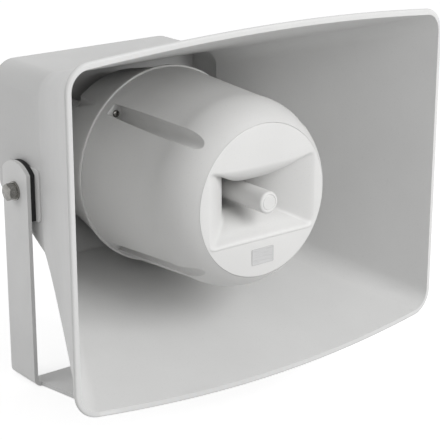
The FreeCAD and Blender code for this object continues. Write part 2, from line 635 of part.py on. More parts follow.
def barrel_front():
    """Front half: hollow, with a ledge for the face disc and four channels that reach the screws."""
    wall = BARREL_WALL
    ledge_r = FACE_SEAT_R - FACE_LEDGE
    seat = FACE_DEPTH + FACE_THICKNESS
    hollow_front = seat + FACE_LEDGE_THICKNESS
    shoulder = (BARREL_SHOULDER_R - wall, BARREL_SHOULDER_DEPTH)
    crown = crown_middle((ledge_r, hollow_front), shoulder, BARREL_CROWN_BULGE - wall / 2)
    hollow = turned(
        (0, hollow_front), (ledge_r, hollow_front), crown, shoulder,
        (BARREL_SEAM_R - wall, BARREL_SEAM_DEPTH), (0, BARREL_SEAM_DEPTH))
    channel_end = BARREL_SEAM_DEPTH - CHANNEL_END_WEB
    tubes = rods_on_circle(CHANNEL_R + CHANNEL_WALL, FACE_DEPTH, BARREL_SEAM_DEPTH, CHANNEL_AXIS_R, QUARTERS)
    channels = rods_on_circle(CHANNEL_R, FACE_DEPTH - CUT_MARGIN, channel_end, CHANNEL_AXIS_R, QUARTERS)
    screw_holes = rods_on_circle(BARREL_SCREW_R + HOLE_CLEARANCE, channel_end - CUT_MARGIN,
                                 BARREL_SEAM_DEPTH + CUT_MARGIN, BARREL_SCREW_AXIS_R, QUARTERS)
    face_seat = rod(FACE_SEAT_R, FACE_DEPTH - CUT_MARGIN, seat)
    face_hole = rod(ledge_r, FACE_DEPTH, hollow_front + CUT_MARGIN)
    cuts = [hollow.cut(tubes), face_seat, face_hole] + channels + screw_holes
    return barrel_front_outer().cut(cuts)


def rear_groove(angle, wall):
    """Leaf-shaped groove that widens along the rear half's cone to its end, with a wall round it."""
    tip = BARREL_SEAM_DEPTH + GROOVE_START_BEHIND_SEAM
    end = BARREL_REAR_DEPTH + CUT_MARGIN
    lip_end = BARREL_SEAM_DEPTH + SEAL_THICKNESS + SEAM_LIP_DEPTH
    slope = (BARREL_SEAM_R - BARREL_REAR_R) / (BARREL_REAR_DEPTH - BARREL_REAR_BEVEL - lip_end)
    start = V(BARREL_SEAM_R - (tip - lip_end) * slope, tip, 0)
    way = V(BARREL_REAR_R + GROOVE_END_PROUD, end, 0) - start
    cone = Part.makeCone(GROOVE_TIP_R + wall, GROOVE_END_R + wall, way.Length, start, way)
    return cone.rotated(V(0, 0, 0), V(0, 1, 0), -angle)


def barrel_rear():
    front = BARREL_SEAM_DEPTH + SEAL_THICKNESS
    lip_r = BARREL_SEAM_R + SEAM_LIP_PROUD
    lip_end = front + SEAM_LIP_DEPTH
    rear = BARREL_REAR_DEPTH
    bevel = BARREL_REAR_BEVEL
    wall = BARREL_WALL
    outer = turned(
        (0, front), (lip_r, front), (lip_r, lip_end), (BARREL_SEAM_R, lip_end),
        (BARREL_REAR_R, rear - bevel), (BARREL_REAR_R - bevel, rear), (0, rear))
    ring_front = rear - BARREL_REAR_RING
    hollow = turned(
        (0, front), (BARREL_SEAM_R - wall, front), (BARREL_SEAM_R - wall, lip_end),
        (BARREL_REAR_R - wall, ring_front), (0, ring_front))
    bosses = rods_on_circle(BARREL_SCREW_BOSS_R, front, SCREW_BOSS_END, BARREL_SCREW_AXIS_R, QUARTERS)
    opening = rod(WOOFER_OPENING_R, ring_front - CUT_MARGIN, rear + CUT_MARGIN)
    groove_walls = [rear_groove(angle, CHANNEL_WALL) for angle in QUARTERS]
    grooves = [rear_groove(angle, 0) for angle in QUARTERS]
    shell = outer.cut([hollow.cut(bosses + groove_walls), opening] + grooves)
    pillars = rods_on_circle(PILLAR_R, rear - CUT_MARGIN, REFLECTOR_DEPTH, PILLAR_AXIS_R, QUARTERS)
    shell = shell.fuse(pillars)
    holes = rods_on_circle(BARREL_SCREW_R, front - CUT_MARGIN, BARREL_SCREW_TIP,
                           BARREL_SCREW_AXIS_R, QUARTERS)
    holes += rods_on_circle(PILLAR_BOLT_R, REFLECTOR_DEPTH - PILLAR_BOLT_GRIP, REFLECTOR_DEPTH + CUT_MARGIN,
                            PILLAR_AXIS_R, QUARTERS)
    holes += rods_on_circle(WOOFER_SCREW_R, ring_front - CUT_MARGIN, WOOFER_SCREW_TIP,
                            WOOFER_SCREW_AXIS_R, UPRIGHTS)
    return shell.cut(holes)


def barrel_seal():
    start = BARREL_SEAM_DEPTH
    end = start + SEAL_THICKNESS
    inside = rod(BARREL_SEAM_R - BARREL_WALL, start, end)
    holes = rods_on_circle(BARREL_SCREW_R + HOLE_CLEARANCE, start, end, BARREL_SCREW_AXIS_R, QUARTERS)
    return rod(BARREL_SEAM_R - SEAL_INSET, start, end).cut([inside] + holes)


def screws_on_circle(radius, head_r, head_height, head_depth, tip_depth, circle_r, angles):
    places = [on_circle(circle_r, angle) for angle in angles]
    return [round_screw(radius, head_r, head_height, head_depth, tip_depth, x, z) for x, z in places]


# Tweeter: face disc with its flare, plug and compression driver
def tweeter_ring(share, inset):
    """Section of the tweeter flare, from the throat at share 0 to the face at share 1.

    Its top and bottom roll in just behind the face, as a brow does, while its sides narrow evenly.
    """
    side_growth = share ** TWEETER_SIDE_POWER
    brow_growth = share ** TWEETER_BROW_POWER
    half_width = (TWEETER_THROAT + (TWEETER_MOUTH_WIDTH - TWEETER_THROAT) * side_growth) / 2 + inset
    half_height = (TWEETER_THROAT + (TWEETER_MOUTH_HEIGHT - TWEETER_THROAT) * brow_growth) / 2 + inset
    corner = TWEETER_THROAT_CORNER + (TWEETER_MOUTH_CORNER - TWEETER_THROAT_CORNER) * share + inset
    return ring(FACE_DEPTH + TWEETER_DEPTH * (1 - share), half_width, half_height, -half_height, corner)


def tweeter_flare(inset):
    return Part.makeLoft([tweeter_ring(share, inset) for share in TWEETER_SHARES], True, False)


def tweeter_horn():
    disc = rod(FACE_R, FACE_DEPTH, FACE_DEPTH + FACE_THICKNESS)
    flange = rod(THROAT_FLANGE_R, THROAT_DEPTH - THROAT_FLANGE, THROAT_DEPTH)
    disc = disc.makeFillet(FACE_EDGE_ROUND, edges_at(disc, "Y", FACE_DEPTH))
    body = disc.fuse([tweeter_flare(TWEETER_WALL), flange]).removeSplitter().cut(tweeter_flare(0))
    half = BRIDGE_THICKNESS / 2
    reach = TWEETER_THROAT / 2 + TWEETER_WALL / 2
    bridge = block(-reach, reach, THROAT_DEPTH - BRIDGE_DEPTH, THROAT_DEPTH, -half, half)
    holes = rods_on_circle(TWEETER_SCREW_R + HOLE_CLEARANCE, THROAT_DEPTH - THROAT_FLANGE - CUT_MARGIN,
                           THROAT_DEPTH + CUT_MARGIN, TWEETER_SCREW_AXIS_R, QUARTERS)
    return body.fuse(bridge).cut(holes)


def phase_plug():
    end = FACE_DEPTH - PLUG_PROUD
    foot = THROAT_DEPTH - BRIDGE_DEPTH
    ring_in = PLUG_RING_R - PLUG_RING_WIDTH
    return turned(
        (0, end), (ring_in, end), (ring_in, end + PLUG_RING_DEPTH), (PLUG_RING_R, end + PLUG_RING_DEPTH),
        (PLUG_RING_R, end), (PLUG_R, end), (PLUG_R, foot - PLUG_TAPER), (PLUG_FOOT_R, foot), (0, foot))


def tweeter_driver():
    start = THROAT_DEPTH
    back = start + TWEETER_MAGNET_LENGTH
    body = turned(
        (0, start), (TWEETER_DRIVER_R, start), (TWEETER_DRIVER_R, back), (TWEETER_CAP_R, back),
        (TWEETER_CAP_R, back + TWEETER_CAP_LENGTH), (0, back + TWEETER_CAP_LENGTH))
    throat = rod(TWEETER_THROAT_R, start - CUT_MARGIN, start + TWEETER_THROAT_LENGTH)
    holes = rods_on_circle(TWEETER_SCREW_R, start - CUT_MARGIN, TWEETER_SCREW_TIP,
                           TWEETER_SCREW_AXIS_R, QUARTERS)
    return body.cut([throat] + holes)


# Woofer, built back from the barrel's rear ring
def woofer_basket():
    """Pressed frame with windows round its sloping wall."""
    face = WOOFER_FACE_DEPTH
    floor = BASKET_FLOOR_DEPTH
    t = WOOFER_FRAME
    shell = turned(
        (WOOFER_FRAME_INNER_R, face), (WOOFER_FRAME_R, face), (WOOFER_FRAME_R, face - t),
        (WOOFER_FRAME_INNER_R + t, face - t), (WOOFER_BASKET_FLOOR_R + t, floor),
        (WOOFER_BASKET_FLOOR_R + t, floor - t), (BASKET_HOLE_R, floor - t),
        (BASKET_HOLE_R, floor), (WOOFER_BASKET_FLOOR_R, floor))
    step = 360 / WOOFER_WINDOWS
    half = WOOFER_BASKET_FLOOR_R * math.sin(math.radians(step / 4))
    windows = []
    for i in range(WOOFER_WINDOWS):
        low = block(0, WOOFER_FRAME_R, floor + BASKET_RIB, SPIDER_DEPTH - BASKET_RIB, -half, half)
        high = block(0, WOOFER_FRAME_R, SPIDER_DEPTH + BASKET_RIB, face - BASKET_EDGE, -half, half)
        windows.append(low.fuse(high).rotated(V(0, 0, 0), V(0, 1, 0), step * i))
    screw_holes = rods_on_circle(WOOFER_SCREW_R + HOLE_CLEARANCE, face - t - CUT_MARGIN, face + CUT_MARGIN,
                                 WOOFER_SCREW_AXIS_R, UPRIGHTS)
    return shell.cut(windows + screw_holes)


def woofer_cone():
    edge = WOOFER_FACE_DEPTH
    neck = edge - WOOFER_CONE_DEPTH
    return turned(
        (WOOFER_CONE_R, edge), (WOOFER_CONE_R, edge - WOOFER_CONE), (WOOFER_NECK_R, neck - WOOFER_CONE),
        (WOOFER_NECK_R, neck))


def dust_cap():
    """Thin spherical cap over the voice coil."""
    sphere_r = (DUST_CAP_R ** 2 + DUST_CAP_RISE ** 2) / (2 * DUST_CAP_RISE)
    centre = V(0, DUST_CAP_DEPTH + DUST_CAP_RISE - sphere_r, 0)
    ball = Part.makeSphere(sphere_r, centre).cut(Part.makeSphere(sphere_r - WOOFER_CONE, centre))
    return ball.common(rod(sphere_r, DUST_CAP_DEPTH, DUST_CAP_DEPTH + sphere_r))


def surround():
    """Half-roll rubber edge between the cone and the frame."""
    inner = WOOFER_CONE_R + SURROUND_GAP
    outer = WOOFER_FRAME_INNER_R
    base = WOOFER_FACE_DEPTH
    middle = (inner + outer) / 2
    crest = SURROUND_CREST / 2
    top = base + SURROUND_ROLL
    t = SURROUND
    return turned(
        (inner, base), (middle - crest, top), (middle + crest, top), (outer, base),
        (WOOFER_OPENING_R - t, base), (WOOFER_OPENING_R - t, base + t), (outer + t, base + t),
        (middle + crest, top + t), (middle - crest, top + t), (inner, base + t))


def voice_coil():
    rear = WOOFER_FACE_DEPTH - WOOFER_CONE_DEPTH
    return rod(COIL_R + COIL_WALL, rear - COIL_LENGTH, rear).cut(rod(COIL_R, rear - COIL_LENGTH, rear))


def spider():
    hole = COIL_R + COIL_WALL + SURROUND_GAP
    disc = rod(SPIDER_OUTER_R, SPIDER_DEPTH, SPIDER_DEPTH + SPIDER)
    return disc.cut(rod(hole, SPIDER_DEPTH, SPIDER_DEPTH + SPIDER))


def woofer_top_plate():
    front = TOP_PLATE_DEPTH
    return rod(PLATE_R, front, front + PLATE).cut(rod(COIL_R + COIL_WALL + COIL_GAP, front, front + PLATE))


def woofer_magnet():
    front = TOP_PLATE_DEPTH - MAGNET_LENGTH
    return rod(MAGNET_R, front, TOP_PLATE_DEPTH).cut(rod(MAGNET_HOLE_R, front, TOP_PLATE_DEPTH))


def woofer_pole_plate():
    front = TOP_PLATE_DEPTH - MAGNET_LENGTH - PLATE
    disc = rod(PLATE_R, front, front + PLATE)
    return disc.fuse(rod(COIL_R - COIL_GAP, front, TOP_PLATE_DEPTH + PLATE)).removeSplitter()


# Rear cover, cable gland and electronics
def rear_cover():
    front = BOX_DEPTH + COVER_GASKET
    panel = plate(front, COVER_FACE, COVER_WIDTH, COVER_HEIGHT, COVER_CORNER, 0, COVER_Z)
    panel = panel.makeFillet(COVER_THICKNESS / 2, edges_at(panel, "Y", COVER_FACE))
    through = (front - CUT_MARGIN, COVER_FACE + CUT_MARGIN)
    holes = [rod(COVER_SCREW_R + HOLE_CLEARANCE, *through, x, z) for x, z in COVER_SCREWS]
    return panel.cut(holes + [rod(GLAND_THREAD_R + HOLE_CLEARANCE, *through, 0, GLAND_Z)])


def cover_gasket():
    span = (BOX_DEPTH, BOX_DEPTH + COVER_GASKET)
    outer = plate(*span, COVER_WIDTH, COVER_HEIGHT, COVER_CORNER, 0, COVER_Z)
    holes = [rod(COVER_SCREW_R + HOLE_CLEARANCE, *span, x, z) for x, z in COVER_SCREWS]
    return outer.cut([cover_opening(*span)] + holes)


def cover_screw(place):
    return round_screw(COVER_SCREW_R, SCREW_HEAD_R, SCREW_HEAD_HEIGHT, COVER_FACE, COVER_SCREW_TIP, *place)


def cable_gland():
    """Threaded body with a hexagonal collar, held to the cover by a nut inside."""
    inside = BOX_DEPTH + COVER_GASKET - GLAND_NUT_LENGTH - GLAND_THREAD_SPARE
    end = COVER_FACE + GLAND_HEX_LENGTH
    thread = rod(GLAND_THREAD_R, inside, COVER_FACE, 0, GLAND_Z)
    collar = depth_hexagon(GLAND_FLATS, COVER_FACE, end, 0, GLAND_Z)
    body = thread.fuse(collar).removeSplitter()
    return body.cut(rod(GLAND_CABLE_R, inside - CUT_MARGIN, end + CUT_MARGIN, 0, GLAND_Z))


def gland_dome():
    start = COVER_FACE + GLAND_HEX_LENGTH
    end = start + GLAND_DOME_LENGTH
    shoulder = end - GLAND_DOME_ROUND
    mouth_r = GLAND_DOME_R - GLAND_DOME_ROUND
    bulge = GLAND_DOME_ROUND * math.sqrt(0.5)
    dome = turned(
        (GLAND_CABLE_R, start), (GLAND_DOME_R, start), (GLAND_DOME_R, shoulder),
        ((mouth_r + bulge, shoulder + bulge), (mouth_r, end)), (GLAND_CABLE_R, end))
    angles = [360 / GLAND_FLUTES * flute for flute in range(GLAND_FLUTES)]
    flute_axis_r = GLAND_DOME_R + GLAND_FLUTE_R / 2
    flutes = rods_on_circle(GLAND_FLUTE_R, start - CUT_MARGIN, shoulder, flute_axis_r, angles)
    return dome.cut(flutes).translated(V(0, 0, GLAND_Z))


def gland_nut():
    back = BOX_DEPTH + COVER_GASKET
    front = back - GLAND_NUT_LENGTH
    nut = depth_hexagon(GLAND_FLATS, front, back, 0, GLAND_Z)
    return nut.cut(rod(GLAND_THREAD_R, front - CUT_MARGIN, back + CUT_MARGIN, 0, GLAND_Z))


def core_block(half_x, depth0, depth1, half_z):
    front = COMPARTMENT_DEPTH + depth0
    back = COMPARTMENT_DEPTH + depth1
    return block(CORE_X - half_x, CORE_X + half_x, front, back, CORE_Z - half_z, CORE_Z + half_z)


def transformer_core():
    half_leg = CORE_LEG / 2
    core = core_block(CORE_WIDTH / 2, 0, CORE_DEPTH, CORE_STACK / 2)
    window = core_block(half_leg + CORE_WINDOW, CORE_YOKE, CORE_DEPTH - CORE_YOKE, CORE_STACK)
    leg = core_block(half_leg, 0, CORE_DEPTH, CORE_STACK)
    return core.cut(window.cut(leg))


def transformer_winding():
    half_leg = CORE_LEG / 2
    half_height = CORE_STACK / 2 + WINDING_OVERHANG
    coil = core_block(half_leg + CORE_WINDOW, CORE_YOKE, CORE_DEPTH - CORE_YOKE, half_height)
    return coil.cut(core_block(half_leg, 0, CORE_DEPTH, CORE_STACK / 2))


def crossover_board():
    front = BOARD_FACE - BOARD_THICKNESS
    return plate(front, BOARD_FACE, BOARD_WIDTH, BOARD_HEIGHT, BOARD_STANDOFF_R, BOARD_X, BOARD_Z)


def board_standoff(place):
    return rod(BOARD_STANDOFF_R, COMPARTMENT_DEPTH, COMPARTMENT_DEPTH + BOARD_STANDOFF, *place)


def crossover_capacitor():
    at = V(0, BOARD_FACE + COMPONENT_R, BOARD_Z + CAPACITOR_ABOVE_CENTRE)
    return side_rod(COMPONENT_R, BOARD_X - CAPACITOR_LENGTH, BOARD_X, at)


def crossover_coil():
    place = (BOARD_X + COIL_FORM_RIGHT_OF_CENTRE, BOARD_Z + COIL_FORM_ABOVE_CENTRE)
    end = BOARD_FACE + COIL_FORM_LENGTH
    return rod(COIL_FORM_R, BOARD_FACE, end, *place).cut(rod(COIL_FORM_HOLE_R, BOARD_FACE, end, *place))


def terminal_block():
    z = BOARD_Z - TERMINAL_BELOW_CENTRE
    left = BOARD_X - TERMINAL_LENGTH / 2
    end = BOARD_FACE + TERMINAL_DEPTH
    half_height = TERMINAL_HEIGHT / 2
    body = block(left, left + TERMINAL_LENGTH, BOARD_FACE, end, z - half_height, z + half_height)
    pitch = TERMINAL_LENGTH / TERMINAL_WAYS
    centres = [left + pitch * (way + 0.5) for way in range(TERMINAL_WAYS)]
    well_floor = end - TERMINAL_WELL_DEPTH
    return body.cut([rod(TERMINAL_WELL_R, well_floor, end + CUT_MARGIN, x, z) for x in centres])


save("horn_shell", horn_shell())
save("bracket", stirrup())
save("friction_pads", *both_sides(friction_pad))
save("threaded_inserts", *both_sides(threaded_insert))
save("flat_washers", *both_sides(flat_washer))
save("spring_washers", *both_sides(spring_washer))
save("pivot_bolts", *both_sides(pivot_bolt))
save("barrel_front", barrel_front())
save("barrel_rear", barrel_rear())
save("barrel_seal", barrel_seal())
save("barrel_screws", *screws_on_circle(BARREL_SCREW_R, BARREL_SCREW_HEAD_R, SCREW_HEAD_HEIGHT,
                                        BARREL_SEAM_DEPTH - CHANNEL_END_WEB, BARREL_SCREW_TIP,
                                        BARREL_SCREW_AXIS_R, QUARTERS))
save("barrel_bolts", *screws_on_circle(PILLAR_BOLT_R, PILLAR_BOLT_HEAD_R, PILLAR_BOLT_HEAD_HEIGHT,
                                       COMPARTMENT_DEPTH, REFLECTOR_DEPTH - PILLAR_BOLT_GRIP,
                                       PILLAR_AXIS_R, QUARTERS))
save("tweeter_horn", tweeter_horn())
save("phase_plug", phase_plug())
save("tweeter_driver", tweeter_driver())
save("tweeter_screws", *screws_on_circle(TWEETER_SCREW_R, SCREW_HEAD_R, SCREW_HEAD_HEIGHT,
                                         THROAT_DEPTH - THROAT_FLANGE, TWEETER_SCREW_TIP,
                                         TWEETER_SCREW_AXIS_R, QUARTERS))
save("woofer_basket", woofer_basket())
save("woofer_cone", woofer_cone())
save("dust_cap", dust_cap())
save("surround", surround())
save("voice_coil", voice_coil())
save("spider", spider())
save("woofer_top_plate", woofer_top_plate())
save("woofer_magnet", woofer_magnet())
save("woofer_pole_plate", woofer_pole_plate())
save("woofer_screws", *screws_on_circle(WOOFER_SCREW_R, SCREW_HEAD_R, SCREW_HEAD_HEIGHT,
                                        WOOFER_FACE_DEPTH - WOOFER_FRAME, WOOFER_SCREW_TIP,
                                        WOOFER_SCREW_AXIS_R, UPRIGHTS))
save("rear_cover", rear_cover())
save("cover_gasket", cover_gasket())
save("cover_screws", *[cover_screw(place) for place in COVER_SCREWS])
save("cable_gland", cable_gland())
save("gland_dome", gland_dome())
save("gland_nut", gland_nut())
save("transformer_core", transformer_core())
save("transformer_winding", transformer_winding())
save("crossover_board", crossover_board())
save("board_standoffs", *[board_standoff(place) for place in STANDOFFS])
save("crossover_capacitor", crossover_capacitor())
save("crossover_coil", crossover_coil())
save("terminal_block", terminal_block())
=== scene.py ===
import json
import math

import bmesh
import bpy
from mathutils import Matrix, Vector


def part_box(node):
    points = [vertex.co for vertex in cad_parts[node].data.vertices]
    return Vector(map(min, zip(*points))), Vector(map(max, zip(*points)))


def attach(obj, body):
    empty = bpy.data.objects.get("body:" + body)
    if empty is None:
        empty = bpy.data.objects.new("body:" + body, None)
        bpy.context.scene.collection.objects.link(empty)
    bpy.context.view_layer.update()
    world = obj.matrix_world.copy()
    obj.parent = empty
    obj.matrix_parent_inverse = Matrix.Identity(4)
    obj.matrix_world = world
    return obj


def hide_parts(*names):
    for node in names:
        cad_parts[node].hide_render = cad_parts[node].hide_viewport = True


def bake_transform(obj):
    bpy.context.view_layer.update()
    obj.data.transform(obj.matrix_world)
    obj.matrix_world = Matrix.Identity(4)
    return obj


# The looks of a horn loudspeaker: finishes for every piece, fine pieces that stand for plain ones,
# soft studio light and a camera at the front left, a little above the horn.
# Lengths are in metres and angles in degrees, unless a comment says otherwise.

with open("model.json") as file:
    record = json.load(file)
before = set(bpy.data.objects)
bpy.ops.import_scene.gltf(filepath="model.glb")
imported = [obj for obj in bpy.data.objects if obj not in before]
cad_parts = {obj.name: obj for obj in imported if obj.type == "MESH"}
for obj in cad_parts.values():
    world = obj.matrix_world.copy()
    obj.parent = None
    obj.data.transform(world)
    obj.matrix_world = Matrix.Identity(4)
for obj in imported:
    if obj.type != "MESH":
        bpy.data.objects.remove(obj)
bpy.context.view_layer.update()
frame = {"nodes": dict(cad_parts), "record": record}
parts = frame["nodes"]
scene = bpy.context.scene

# Camera: the point it looks at, where it stands from there, and its lens and sensor in millimetres
TARGET = Vector((-0.0626, -0.220, 0.2443))
CAMERA_AZIMUTH = -38.11
CAMERA_ELEVATION = 18.28
CAMERA_DISTANCE = 1.4431
CAMERA_LENS = 122.75
SENSOR = 36.0

# Light: two softboxes, with their power in watts, and the world, which lights evenly and shows white
KEY_PLACE = (0.9, -2.7, 1.68)
KEY_SIZE = 2.2
KEY_POWER = 70.0
FILL_PLACE = (-2.4, 0.8, 1.8)
FILL_SIZE = 2.0
FILL_POWER = 18.0
WORLD_LIGHT = 0.46
WORLD_SHOWN = 1.0

# Floor: its own colour, and the glow that shows it white to the camera and in reflections
FLOOR_SIZE = 14.0
FLOOR_DROP = 0.0005
FLOOR_COLOUR = 0.6
FLOOR_GLOW = 0.68

# Meshes: points nearer than this are one, and a fold sharper than this shows as an edge
WELD_DISTANCE = 1e-6
EDGE_ANGLE = 32.0

# Steps round turned pieces, and in a quarter turn of their rounded ends
TURN_STEPS = 40
ROUND_STEPS = 5

# Screw heads, as shares of the head's radius, and of its height for the rim
HEAD_HEIGHT_SHARE = 0.63
HEAD_RIM_SHARE = 0.35
SHANK_SHARE = 0.53
SHANK_TIP_SHARE = 0.6

# Cross recess, as shares of the head's radius or height, and each screw's turn past the one before
RECESS_REACH = 0.62
RECESS_WIDTH = 0.2
RECESS_DEPTH = 0.6
RECESS_TAPER = 0.55
CUTTER_HEIGHT = 2.0
SCREW_TURN = 33.0

# Tweeter face: a disc, a little proud of the barrel, round a rectangular flare
FACE_PROUD = 0.0004
FACE_EDGE = 0.0007
FACE_EDGE_STEPS = 4
FACE_THICKNESS = 0.004
MOUTH_HALF_WIDTH = 0.066
MOUTH_HALF_HEIGHT = 0.0385
MOUTH_CORNER = 0.005
THROAT_HALF = 0.0155
THROAT_CORNER = 0.004
FLARE_WALL = 0.0025
FLANGE_R = 0.042
FLANGE_THICKNESS = 0.004
BRIDGE_THICKNESS = 0.003
BRIDGE_DEPTH = 0.007

# Growth of the flare from its throat to its mouth: the higher the power, the nearer to the mouth it grows
SIDE_POWER = 2.6
END_POWER = 1.5
BROW_POWER = 6.0
SILL_END_POWER = 3.5
SILL_POWER = 5.0

# Lips of the flare: the upper one hangs like a brow, and the lower one has a bead
BROW_SAG = 0.005
BROW_EASE = 0.0015
SAG_POWER = 3.6
LIP_ROUND = 0.0024
LIP_DEPTH = 0.005
SILL_PROUD = 0.002
SILL_FALL = 8

# Steps along a rounded rectangle's corners and sides, over the lip and along the flare
CORNER_STEPS = 6
SIDE_STEPS = (24, 12, 24, 12)
LIP_STEPS = 8
FLARE_STEPS = 22

# Plug in the flare: its rounded end with a shallow ring, and its tapered foot
PLUG_ROUND = 0.0026
PLUG_TAPER = 0.006
PLUG_FOOT_R = 0.004
PLUG_RING_R = 0.0086
PLUG_RING_WIDTH = 0.0016
PLUG_RING_DEPTH = 0.0006

# Woofer's flexing rings, made in sectors that reach from the cone inside to the frame outside
FLEX_SECTORS = 12
FLEX_STEPS = 4
SPIDER_HOLE_R = 0.0173
SPIDER_THICKNESS = 0.0006
SPIDER_WAVE = 0.0009
SPIDER_WAVES = 4
SPIDER_STEPS = 48
SURROUND_INNER_R = 0.0523
SURROUND_OUTER_R = 0.062
SURROUND_THICKNESS = 0.001
SURROUND_STEPS = 12

# Blank plate on the face
PLATE_WIDTH = 0.028
PLATE_HEIGHT = 0.017
PLATE_THICKNESS = 0.0006
PLATE_SUNK = 0.0002
PLATE_CORNER = 0.0015
PLATE_BORDER = 0.0011
PLATE_BELOW_CENTRE = 0.0575


# Finishes: each is a shader whose colour, roughness and bump come from textures in the object's own metres
class Finish:
    """A material's node tree, with short names for the nodes that the finishes share."""

    def __init__(self, name, roughness, metallic=0.0, specular=0.5):
        self.material = bpy.data.materials.new(name)
        self.material.use_nodes = True
        self.tree = self.material.node_tree
        self.shader = self.tree.nodes["Principled BSDF"]
        self.shader.inputs["Roughness"].default_value = roughness
        self.shader.inputs["Metallic"].default_value = metallic
        self.shader.inputs["Specular IOR Level"].default_value = specular
        self.place = self.node("ShaderNodeTexCoord").outputs["Object"]
        self.normal = None

    def node(self, kind, **settings):
        made = self.tree.nodes.new(kind)
        for key, value in settings.items():
            setattr(made, key, value)
        return made

    def link(self, output, socket):
        self.tree.links.new(output, socket)

    def stretched(self, scale):
        """The object's place, scaled differently along each axis."""
        mapping = self.node("ShaderNodeMapping")
        mapping.inputs["Scale"].default_value = scale
        self.link(self.place, mapping.inputs["Vector"])
        return mapping.outputs["Vector"]

    def noise(self, scale, detail=3.0, roughness=0.55, place=None):
        texture = self.node("ShaderNodeTexNoise")
        texture.inputs["Scale"].default_value = scale
        texture.inputs["Detail"].default_value = detail
        texture.inputs["Roughness"].default_value = roughness
        self.link(place or self.place, texture.inputs["Vector"])
        return texture.outputs["Fac"]

    def cells(self, scale):
        texture = self.node("ShaderNodeTexVoronoi")
        texture.inputs["Scale"].default_value = scale
        self.link(self.place, texture.inputs["Vector"])
        return texture.outputs["Distance"]

    def waves(self, scale, direction, distortion=0.0):
        texture = self.node("ShaderNodeTexWave", bands_direction=direction)
        texture.inputs["Scale"].default_value = scale
        texture.inputs["Distortion"].default_value = distortion
        self.link(self.place, texture.inputs["Vector"])
        return texture.outputs["Fac"]

    def between(self, factor, low, high, start=0.35, end=0.65):
        """A value or a colour that goes from low to high as the factor goes from start to end."""
        ramp = self.node("ShaderNodeValToRGB")
        stops = ramp.color_ramp.elements
        for stop, position, value in zip(stops, (start, end), (low, high)):
            stop.position = position
            stop.color = (*value, 1) if isinstance(value, tuple) else (value, value, value, 1)
        self.link(factor, ramp.inputs["Fac"])
        return ramp.outputs["Color"]

    def tints(self, factor, colour, low, high, start=0.35, end=0.65):
        """A colour that goes from its low tint to its high tint as the factor goes from start to end."""
        shades = [tuple(channel * tint for channel in colour) for tint in (low, high)]
        return self.between(factor, *shades, start, end)

    def shaded(self, colour, shade):
        """A colour darkened by a second one."""
        mix = self.node("ShaderNodeMixRGB", blend_type="MULTIPLY")
        mix.inputs["Fac"].default_value = 1.0
        self.link(colour, mix.inputs["Color1"])
        self.link(shade, mix.inputs["Color2"])
        return mix.outputs["Color"]

    def colour(self, output):
        self.link(output, self.shader.inputs["Base Color"])

    def roughness(self, output):
        self.link(output, self.shader.inputs["Roughness"])

    def bump(self, height, strength, distance):
        bump = self.node("ShaderNodeBump")
        bump.inputs["Strength"].default_value = strength
        bump.inputs["Distance"].default_value = distance
        self.link(height, bump.inputs["Height"])
        if self.normal:
            self.link(self.normal, bump.inputs["Normal"])
        self.normal = bump.outputs["Normal"]
        self.link(self.normal, self.shader.inputs["Normal"])


def moulded_plastic(name, colour, roughness, grain):
    """Weatherproof moulding: a fine eroded grain, soft flow clouds and faint darker specks."""
    finish = Finish(name, roughness, specular=0.45)
    clouds = finish.tints(finish.noise(7.0, detail=4.0), colour, low=0.965, high=1.02)
    specks = finish.between(finish.noise(520.0, detail=2.0), low=0.965, high=1.0, start=0.30, end=0.40)
    finish.colour(finish.shaded(clouds, specks))
    finish.roughness(finish.between(finish.noise(28.0, detail=5.0), roughness - 0.05, roughness + 0.06))
    finish.bump(finish.noise(6.0, detail=2.0), strength=0.1, distance=0.002)
    finish.bump(finish.cells(grain), strength=0.35, distance=0.05 / grain)
    return finish.material


def powder_coat(name, colour):
    """Baked powder paint with its slight orange peel."""
    finish = Finish(name, roughness=0.42)
    finish.colour(finish.tints(finish.noise(16.0, detail=4.0), colour, low=0.97, high=1.02))
    finish.roughness(finish.between(finish.noise(60.0), low=0.36, high=0.48))
    finish.bump(finish.noise(420.0, detail=2.0), strength=0.28, distance=0.0002)
    finish.bump(finish.noise(1600.0, detail=2.0), strength=0.2, distance=0.00004)
    return finish.material


def turned_metal(name, colour, roughness):
    """Bare metal with fine tool marks across it and a dull film in places."""
    finish = Finish(name, roughness, metallic=1.0)
    finish.colour(finish.tints(finish.noise(140.0, detail=4.0), colour, low=0.82, high=1.05))
    finish.roughness(finish.between(finish.noise(300.0), roughness - 0.07, roughness + 0.12))
    marks = finish.noise(900.0, place=finish.stretched((0.15, 1.0, 1.0)))
    finish.bump(marks, strength=0.22, distance=0.00005)
    return finish.material


def brushed_foil(name, colour):
    """Thin satin metal, brushed along its length."""
    finish = Finish(name, roughness=0.4, metallic=0.35)
    strokes = finish.noise(2600.0, detail=4.0, place=finish.stretched((0.03, 1.0, 1.0)))
    finish.colour(finish.tints(strokes, colour, low=0.86, high=1.08))
    finish.roughness(finish.between(strokes, low=0.34, high=0.5))
    finish.bump(strokes, strength=0.25, distance=0.00003)
    return finish.material


def rubber(name, colour):
    """Dull rubber with dust on it."""
    finish = Finish(name, roughness=0.72, specular=0.35)
    dust = finish.noise(45.0, detail=5.0)
    finish.colour(finish.tints(dust, colour, low=1.0, high=1.9, start=0.45, end=0.8))
    finish.roughness(finish.between(dust, low=0.66, high=0.82))
    finish.bump(finish.cells(1300.0), strength=0.4, distance=0.00008)
    return finish.material


def painted_black(name, colour):
    """Thin satin paint on pressed steel."""
    finish = Finish(name, roughness=0.38)
    finish.colour(finish.tints(finish.noise(90.0, detail=4.0), colour, low=1.0, high=1.6))
    finish.roughness(finish.between(finish.noise(180.0), low=0.32, high=0.5))
    finish.bump(finish.noise(700.0, detail=2.0), strength=0.25, distance=0.0001)
    return finish.material


